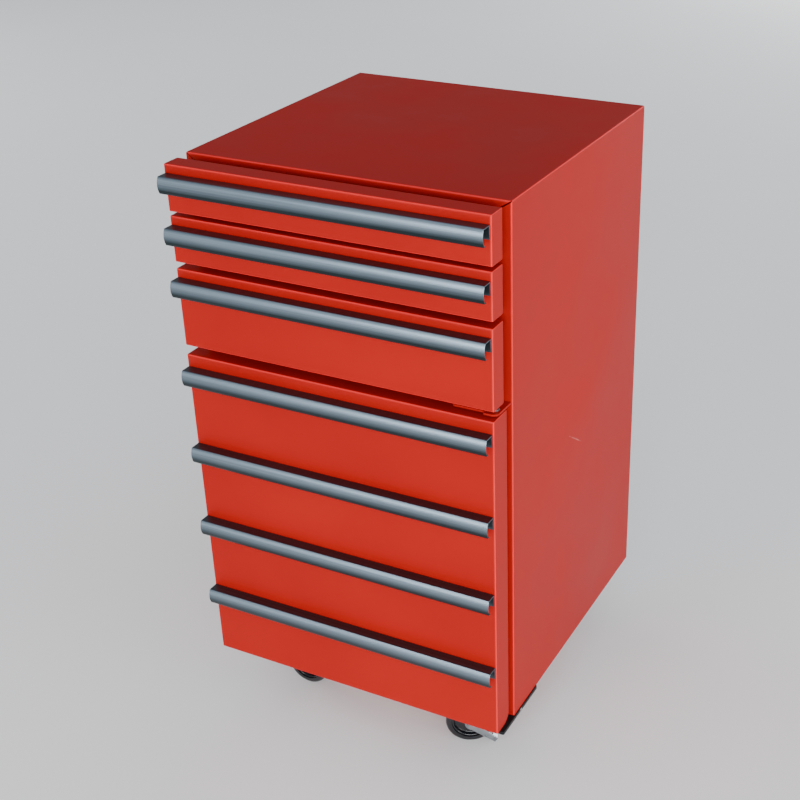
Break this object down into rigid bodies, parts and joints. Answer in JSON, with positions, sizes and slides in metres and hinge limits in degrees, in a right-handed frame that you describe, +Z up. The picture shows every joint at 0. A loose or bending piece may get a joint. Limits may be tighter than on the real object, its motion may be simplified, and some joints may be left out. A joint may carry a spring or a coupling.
{
  "type": "rolling tool chest",
  "caption": "Upright red tool chest on swivel casters: full-width pulls on shallow drawers above an insulated cold cupboard behind a side-hinged door with false drawer pulls.",
  "frame": {"origin": "on the floor under the middle of the whole chest, pulls included", "axes": "+Z up, -Y towards the front with the drawers and the door, +X towards the side with the door hinge"},
  "size_m": [0.48, 0.522, 0.8834],
  "materials": {
    "red_powder_coat": "semi-gloss red powder coat on folded steel",
    "satin_aluminium": "satin anodised extrusion",
    "zinc_plate": "bright zinc plate",
    "galvanised_sheet": "galvanised sheet steel",
    "black_steel": "black coated steel",
    "wheel_black": "glossy black moulded wheel",
    "black_moulding": "fine-grained black plastic",
    "white_liner": "vacuum-formed white plastic",
    "white_moulding": "moulded white plastic",
    "insulation": "rigid polyurethane foam",
    "gasket": "soft grey magnetic gasket",
    "compressor_black": "gloss black enamel",
    "cold_plate": "plain rolled aluminium"
  },
  "bodies": {
    "cabinet": {"cabinet_shell": "red_powder_coat", "back_panel": "galvanised_sheet", "cord_gland": "black_moulding", "base_pan": "red_powder_coat", "drawer_deck": "red_powder_coat", "cabinet_foam": "insulation", "food_liner": "white_liner", "wire_shelf": "zinc_plate", "chiller_box": "cold_plate", "thermostat_housing": "white_moulding", "compressor": "compressor_black", "upper_hinge": "red_powder_coat", "upper_hinge_pin": "zinc_plate", "lower_hinge": "black_steel", "lower_hinge_pin": "zinc_plate", "cabinet_rail_1_left": "zinc_plate", "cabinet_rail_1_right": "zinc_plate", "cabinet_rail_2_left": "zinc_plate", "cabinet_rail_2_right": "zinc_plate", "cabinet_rail_3_left": "zinc_plate", "cabinet_rail_3_right": "zinc_plate", "caster_plate_front_left": "zinc_plate", "caster_plate_front_right": "zinc_plate", "caster_plate_rear_left": "zinc_plate", "caster_plate_rear_right": "zinc_plate"},
    "drawer_1": {"drawer_front_1": "red_powder_coat", "drawer_tray_1": "galvanised_sheet", "drawer_pull_1": "satin_aluminium"},
    "slide_middle_1": {"middle_member_1_left": "zinc_plate", "middle_member_1_right": "zinc_plate"},
    "drawer_2": {"drawer_front_2": "red_powder_coat", "drawer_tray_2": "galvanised_sheet", "drawer_pull_2": "satin_aluminium"},
    "slide_middle_2": {"middle_member_2_left": "zinc_plate", "middle_member_2_right": "zinc_plate"},
    "drawer_3": {"drawer_front_3": "red_powder_coat", "drawer_tray_3": "galvanised_sheet", "drawer_pull_3": "satin_aluminium"},
    "slide_middle_3": {"middle_member_3_left": "zinc_plate", "middle_member_3_right": "zinc_plate"},
    "door": {"door_skin": "red_powder_coat", "door_foam": "insulation", "door_liner": "white_liner", "door_gasket": "gasket", "door_pull_1": "satin_aluminium", "door_pull_2": "satin_aluminium", "door_pull_3": "satin_aluminium", "door_pull_4": "satin_aluminium"},
    "knob": {"thermostat_knob": "white_moulding"},
    "flap": {"chiller_flap": "white_moulding"},
    "swivel_front_left": {"caster_fork_front_left": "zinc_plate"},
    "wheel_front_left": {"caster_wheel_front_left": "wheel_black"},
    "swivel_front_right": {"caster_fork_front_right": "zinc_plate"},
    "wheel_front_right": {"caster_wheel_front_right": "wheel_black"},
    "swivel_rear_left": {"caster_fork_rear_left": "zinc_plate"},
    "wheel_rear_left": {"caster_wheel_rear_left": "wheel_black"},
    "swivel_rear_right": {"caster_fork_rear_right": "zinc_plate"},
    "wheel_rear_right": {"caster_wheel_rear_right": "wheel_black"},
    "lever_front_left": {"brake_lever_front_left": "zinc_plate"},
    "lever_front_right": {"brake_lever_front_right": "zinc_plate"}
  },
  "joints": [
    {"name": "drawer_1_slide", "type": "slide", "parent": "cabinet", "child": "drawer_1", "axis": [0, -1, 0], "range_m": [0, 0.34]},
    {"name": "slide_middle_1_slide", "type": "slide", "parent": "cabinet", "child": "slide_middle_1", "axis": [0, -1, 0], "range_m": [0, 0.17]},
    {"name": "drawer_2_slide", "type": "slide", "parent": "cabinet", "child": "drawer_2", "axis": [0, -1, 0], "range_m": [0, 0.34]},
    {"name": "slide_middle_2_slide", "type": "slide", "parent": "cabinet", "child": "slide_middle_2", "axis": [0, -1, 0], "range_m": [0, 0.17]},
    {"name": "drawer_3_slide", "type": "slide", "parent": "cabinet", "child": "drawer_3", "axis": [0, -1, 0], "range_m": [0, 0.34]},
    {"name": "slide_middle_3_slide", "type": "slide", "parent": "cabinet", "child": "slide_middle_3", "axis": [0, -1, 0], "range_m": [0, 0.17]},
    {"name": "door_hinge", "type": "hinge", "parent": "cabinet", "child": "door", "pos_m": [0.229, -0.219, 0.35], "axis": [0, 0, 1], "range_deg": [0, 120]},
    {"name": "thermostat_turn", "type": "hinge", "parent": "cabinet", "child": "knob", "pos_m": [0.1697, -0.079, 0.538], "axis": [-1, 0, 0], "range_deg": [0, 270]},
    {"name": "chiller_flap_hinge", "type": "hinge", "parent": "cabinet", "child": "flap", "pos_m": [0, -0.0423, 0.5684], "axis": [-1, 0, 0], "range_deg": [0, 80]},
    {"name": "swivel_front_left_turn", "type": "hinge", "parent": "cabinet", "child": "swivel_front_left", "pos_m": [-0.1795, -0.1388, 0.095], "axis": [0, 0, 1], "continuous": true},
    {"name": "wheel_front_left_spin", "type": "hinge", "parent": "swivel_front_left", "child": "wheel_front_left", "pos_m": [-0.14558, -0.14117, 0.0375], "axis": [0.0698, 0.9976, 0], "continuous": true},
    {"name": "lever_front_left_press", "type": "hinge", "parent": "swivel_front_left", "child": "lever_front_left", "pos_m": [-0.14558, -0.14117, 0.0375], "axis": [0.0698, 0.9976, 0], "range_deg": [-29, 0]},
    {"name": "swivel_front_right_turn", "type": "hinge", "parent": "cabinet", "child": "swivel_front_right", "pos_m": [0.1795, -0.1388, 0.095], "axis": [0, 0, 1], "continuous": true},
    {"name": "wheel_front_right_spin", "type": "hinge", "parent": "swivel_front_right", "child": "wheel_front_right", "pos_m": [0.14948, -0.15476, 0.0375], "axis": [0.4695, -0.8829, 0], "continuous": true},
    {"name": "lever_front_right_press", "type": "hinge", "parent": "swivel_front_right", "child": "lever_front_right", "pos_m": [0.14948, -0.15476, 0.0375], "axis": [0.4695, -0.8829, 0], "range_deg": [0, 29]},
    {"name": "swivel_rear_left_turn", "type": "hinge", "parent": "cabinet", "child": "swivel_rear_left", "pos_m": [-0.1795, 0.2088, 0.095], "axis": [0, 0, 1], "continuous": true},
    {"name": "wheel_rear_left_spin", "type": "hinge", "parent": "swivel_rear_left", "child": "wheel_rear_left", "pos_m": [-0.15067, 0.19078, 0.0375], "axis": [0.5299, 0.848, 0], "continuous": true},
    {"name": "swivel_rear_right_turn", "type": "hinge", "parent": "cabinet", "child": "swivel_rear_right", "pos_m": [0.1795, 0.2088, 0.095], "axis": [0, 0, 1], "continuous": true},
    {"name": "wheel_rear_right_spin", "type": "hinge", "parent": "swivel_rear_right", "child": "wheel_rear_right", "pos_m": [0.15384, 0.18649, 0.0375], "axis": [0.6561, -0.7547, 0], "continuous": true}
  ],
  "couplings": [
    {"joint": "slide_middle_1_slide", "follows": "drawer_1_slide", "ratio": 0.5},
    {"joint": "slide_middle_2_slide", "follows": "drawer_2_slide", "ratio": 0.5},
    {"joint": "slide_middle_3_slide", "follows": "drawer_3_slide", "ratio": 0.5}
  ]
}
